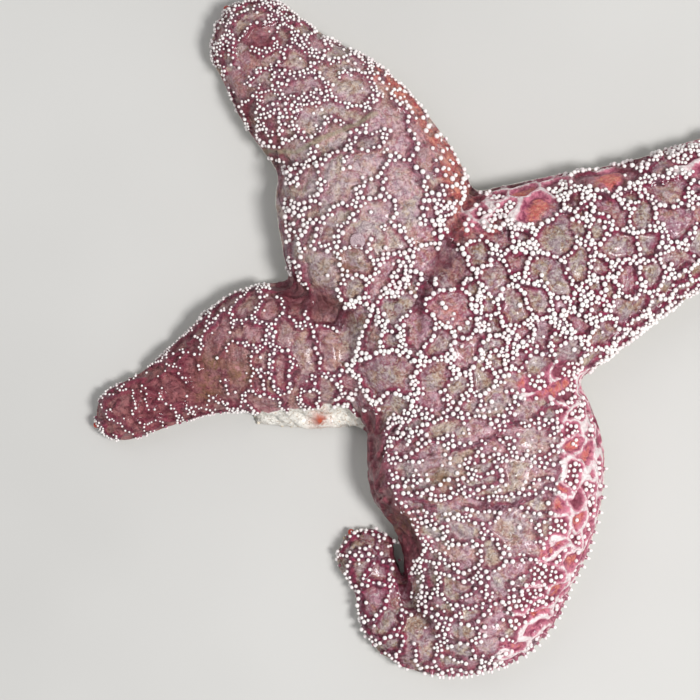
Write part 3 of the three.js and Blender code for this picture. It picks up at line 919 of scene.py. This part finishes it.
def centred(path, across):
    """The path moved to the middle of the furrow that the hide really has there."""
    offsets = np.linspace(-4, 4, 17)
    heights = np.array([roof(path + offset * across) for offset in offsets])
    open_part = np.clip(heights - SOLE_LIFT - 0.4, 0, 1.2)
    middle = (open_part * offsets[:, None]).sum(0) / np.maximum(open_part.sum(0), 1e-6)
    return path + middle[:, None] * across, open_part.sum(0) > 1.0


feet, guards, guard_leans = [], [], []
for line in FURROWS:
    path, across = followed(line, FOOT_STEP)
    path, furrowed = centred(path, across)
    furrowed &= np.linalg.norm(path - mouth_middle, axis=1) > MOUTH_REACH
    path, across = path[furrowed], across[furrowed]
    for number, offset in enumerate(FOOT_ROWS):
        slide = (number % 2) * 0.5 * FOOT_STEP * np.column_stack([across[:, 1], -across[:, 0]])
        feet.append(path + offset * across + slide)
    for offset in (-FURROW_SIDE - 1.0, -FURROW_SIDE, FURROW_SIDE, FURROW_SIDE + 1.0):
        guards.append(path + offset * across + chance.normal(0, 0.15, path.shape))
        guard_leans.append(-np.sign(offset) * 0.35 * across)
turns = np.linspace(0, 2 * math.pi, ORAL_SPINES, endpoint=False)
outward = np.column_stack([np.cos(turns), np.sin(turns)])
for reach in ORAL_RINGS:
    guards.append(mouth_middle + reach * outward + chance.normal(0, 0.15, outward.shape))
    guard_leans.append(-0.9 * outward)
feet, guards, guard_leans = np.concatenate(feet), np.concatenate(guards), np.concatenate(guard_leans)

height = roof(feet)
deep = height > SOLE_LIFT + 0.5
feet, height = feet[deep], height[deep]
foot_shape = turned(6, [(0.0, 0.42), (0.45, 0.34), (0.78, 0.32), (0.86, 0.55), (0.95, 0.6), (1.0, 0.4)])
sucker = Finish("tube feet", ior=1.38, coat_weight=0.6, coat_roughness=0.1)
along = sucker.read("foot")
cloudy = sucker.mottle(2 * MM)
stalk = sucker.mix(cloudy, colour(0xC99A6A), colour(0xE0C29A))
sucker.wire(
    Base_Color=sucker.mix(along.step(0.5, 0.9), stalk, colour(0xF0E2CC)),
    Roughness=0.3 + cloudy * 0.2,
)
down = np.tile((0.0, 0.0, -1.0), (len(feet), 1))
roots = np.column_stack([feet, height + 0.15])
width = chance.uniform(0.85, 1.1, len(feet))
tube_feet = planted("tube_feet", foot_shape, roots, down, width, roots[:, 2] - 0.1, sucker)
write(tube_feet.data, "foot", np.tile(foot_shape[0][:, 2], len(feet)))

guard_shape = turned(5, [(-0.2, 0.3), (0.6, 0.27), (0.95, 0.2), (1.0, 0.1)])
height = roof(guards)
level = (height > 0.5) & (height < SOLE_LIFT + 0.6)
roots = np.column_stack([guards, height])[level]
leaning = np.column_stack([guard_leans, np.full(len(guards), -1.0)])[level]
leaning /= np.linalg.norm(leaning, axis=1, keepdims=True)
bone = Finish("bare limy spines", ior=1.5, coat_weight=0.2, coat_roughness=0.15)
worn = bone.mottle(3 * MM)
bone.wire(
    Base_Color=bone.mix(worn.step(0.35, 0.65), colour(0xF2E8D6), colour(0xDCC8A6)),
    Roughness=0.4 + worn * 0.2,
)
size = np.ones(len(roots))
planted("furrow_spines", guard_shape, roots, leaning, size, size * 0.98, bone)

# Sole spines. The rest of the sole stands on short, blunt, limy spines, set close together
# in the cream hide.
SOLE_TRIES, SOLE_SPACING = 60000, 2.0
sole_shape = turned(6, [(-0.2, 0.42), (0.5, 0.48), (0.9, 0.42), (1.0, 0.2)])
spots, facings = scatter(hide_points, flesh_normals, triangles, SOLE_TRIES)
sole = (spots[:, 2] < SOLE_LIFT + 0.15) & (facings[:, 2] < -0.6)
sole &= np.linalg.norm(spots[:, :2] - mouth_middle, axis=1) > MOUTH_REACH + 1
spots = spots[sole]
furrow_places = np.concatenate([feet, guards[level]])
furrow_tree = KDTree(len(furrow_places))
for number, (x, y) in enumerate(furrow_places):
    furrow_tree.insert((x, y, 0), number)
furrow_tree.balance()
clear = np.array([furrow_tree.find((x, y, 0))[2] > 1.2 for x, y, _ in spots])
spots = spots[clear]
spots = spots[thinned(spots, np.full(len(spots), SOLE_SPACING))]
down = np.tile((0.0, 0.0, -1.0), (len(spots), 1))
size = chance.uniform(0.9, 1.25, len(spots))
planted("sole_spines", sole_shape, spots, down, size, np.full(len(spots), SOLE_LIFT - 0.05), bone)

# Madreporite, mouth and eyespots. The sieve plate lets water into the body and is a limy
# button scored with fine grooves; the mouth is a soft pale ring; and each arm's tip carries
# one red eyespot that only tells light from dark.
sieve_plate = Finish("sieve plate", roughness=0.5)
grooves = sieve_plate.mottle(0.5 * MM, detail=1, warp=2.0)
scoring = {"Strength": 0.8, "Distance": 0.2 * MM, "Height": grooves}
sieve_plate.wire(
    Base_Color=sieve_plate.mix(grooves.step(0.4, 0.6), colour(0x9A7F86), colour(0xCDB4B8)),
    Normal=sieve_plate.node("ShaderNodeBump", {}, scoring, "Normal"),
)
mouth_skin = Finish("mouth skin", roughness=0.35)
folds_of_mouth = mouth_skin.mottle(0.9 * MM)
mouth_skin.wire(Base_Color=mouth_skin.mix(folds_of_mouth.step(0.4, 0.6), colour(0xECDCC4), colour(0xCFAE92)))
eye_red = Finish("eye red", roughness=0.25, coat_weight=0.5)
eye_grain = eye_red.mottle(0.4 * MM).step(0.4, 0.6)
eye_red.wire(Base_Color=eye_red.mix(eye_grain, colour(0xA02018), colour(0xC84830)))
LIP_RADIUS, LIP_HALF, LIP_HEIGHT = 2.95, 1.75, 2.4
PLEATS = 10
bpy.ops.mesh.primitive_torus_add(
    major_segments=120, minor_segments=24, major_radius=LIP_RADIUS * MM, minor_radius=LIP_HALF * MM,
    location=(mouth_middle[0] * MM, mouth_middle[1] * MM, LIP_HEIGHT * MM),
)
mouth = bpy.context.object
mouth.name = mouth.data.name = "mouth_ring"
mouth.scale = (1, 1, 0.5)
bpy.ops.object.transform_apply()
ring = read_points(mouth.data) / MM
from_middle = ring[:, :2] - mouth_middle
turns = np.arctan2(from_middle[:, 1], from_middle[:, 0])
reach = np.linalg.norm(from_middle, axis=1)
pleat = np.abs(np.sin(PLEATS * turns + 0.6 * np.sin(3 * turns))) - 0.6
ring[:, :2] += from_middle / reach[:, None] * (0.4 * pleat * (reach < LIP_RADIUS))[:, None]
ring[:, 2] -= 0.5 * pleat * smoothstep(4.7, 2.8, reach)
mouth.data.vertices.foreach_set("co", (ring * MM).ravel())
mouth.data.shade_smooth()
mouth.data.materials.append(mouth_skin.material)
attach(mouth, "root")
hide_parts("mouth")
for name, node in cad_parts.items():
    finish = {"mad": sieve_plate, "eye": eye_red}.get(name[:3])
    if finish:
        node.data.materials.clear()
        node.data.materials.append(finish.material)

# Floor, light and camera: a plain pale sheet, two broad soft lamps and an even sky, seen
# from straight above.
bpy.ops.mesh.primitive_plane_add(size=6, location=(0, 0, 0))
floor = bpy.context.object
floor.name = "floor"
paper = Finish("paper", roughness=0.9)
paper.wire(Base_Color=paper.mix(paper.mottle(0.2).step(0.3, 0.7), colour(0xC6C4C0), colour(0xCECCC8)))
floor.data.materials.append(paper.material)

for name, place, size, power in (
    ("soft key", (0.5, -0.2, 1.1), 0.3, 13),
    ("soft fill", (-0.7, 0.6, 1.0), 0.9, 2.5),
):
    lamp = bpy.data.lights.new(name, "AREA")
    lamp.size = size
    lamp.energy = power
    bulb = bpy.data.objects.new(name, lamp)
    bulb.location = place
    bulb.rotation_euler = (-Vector(place)).to_track_quat("-Z", "Y").to_euler()
    bpy.context.collection.objects.link(bulb)
sky = bpy.data.worlds.new("sky")
sky.use_nodes = True
sky.node_tree.nodes["Background"].inputs["Color"].default_value = (0.93, 0.96, 1, 1)
sky.node_tree.nodes["Background"].inputs["Strength"].default_value = 0.41
bpy.context.scene.world = sky
bpy.context.scene.view_settings.view_transform = "Standard"

VIEW_DISTANCE, VIEW_WIDTH = 0.8, 0.2275
camera = bpy.data.objects.new("camera", bpy.data.cameras.new("camera"))
camera.location = (-0.0404, -0.0041, 0.808)
camera.data.sensor_width = 36
camera.data.lens = camera.data.sensor_width * VIEW_DISTANCE / VIEW_WIDTH
bpy.context.collection.objects.link(camera)
bpy.context.scene.camera = camera
